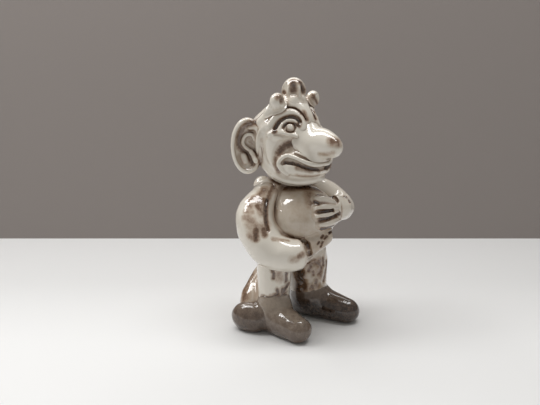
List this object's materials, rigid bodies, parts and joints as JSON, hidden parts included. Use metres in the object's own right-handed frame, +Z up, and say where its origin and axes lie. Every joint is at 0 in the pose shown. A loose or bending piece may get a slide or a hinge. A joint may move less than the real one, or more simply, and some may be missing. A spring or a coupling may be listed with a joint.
{
  "type": "troll figure",
  "caption": "Standing folk troll ornament in glazed ceramic, hands clasped on a bare round belly, with a long nose, big ears, hair curls, an open jacket, blunt shoes and a brush-ended tail.",
  "frame": {"origin": "on the ground under the middle of the figure's overall box", "axes": "+Z up, -Y the way the figure faces, +X towards its left hand"},
  "size_m": [0.0508, 0.0428, 0.1],
  "materials": {
    "cream_glaze": "gloss glaze over brown oxide wiped into the recesses",
    "brown_glaze": "gloss mottled brown-grey glaze"
  },
  "bodies": {
    "root": {"torso": "cream_glaze", "jacket": "cream_glaze", "head": "cream_glaze", "nose": "cream_glaze", "hair": "cream_glaze", "hair_tuft": "cream_glaze", "right_eye": "cream_glaze", "left_eye": "cream_glaze", "right_ear": "cream_glaze", "left_ear": "cream_glaze", "right_curl": "cream_glaze", "left_curl": "cream_glaze", "right_arm": "cream_glaze", "left_arm": "cream_glaze", "right_hand": "cream_glaze", "left_hand": "cream_glaze", "right_leg": "cream_glaze", "left_leg": "cream_glaze", "right_shoe": "brown_glaze", "left_shoe": "brown_glaze", "tail": "brown_glaze", "tail_brush": "brown_glaze"}
  },
  "joints": []
}
